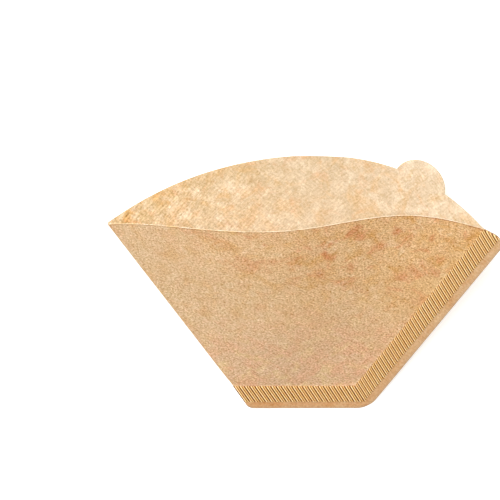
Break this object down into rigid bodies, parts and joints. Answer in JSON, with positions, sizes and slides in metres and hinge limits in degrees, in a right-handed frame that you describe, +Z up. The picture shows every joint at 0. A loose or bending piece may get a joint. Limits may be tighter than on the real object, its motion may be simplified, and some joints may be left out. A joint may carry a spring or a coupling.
{
  "type": "paper coffee filter",
  "caption": "Unbleached paper coffee filter, cone type: folded sheet with a crimped side and bottom seam, arched mouth and round finger tab, opened and lying down.",
  "frame": {"origin": "centre of the bounding box's base, on the surface that the filter lies on", "axes": "+X across the filter from the fold to the crimped side seam, +Y from the crimped bottom seam to the mouth, +Z up from the rear panel to the front panel"},
  "size_m": [0.1542, 0.114, 0.0452],
  "materials": {
    "filter_paper": "matt unbleached creped filter paper"
  },
  "bodies": {
    "root": {"filter_paper": "filter_paper"}
  },
  "joints": []
}
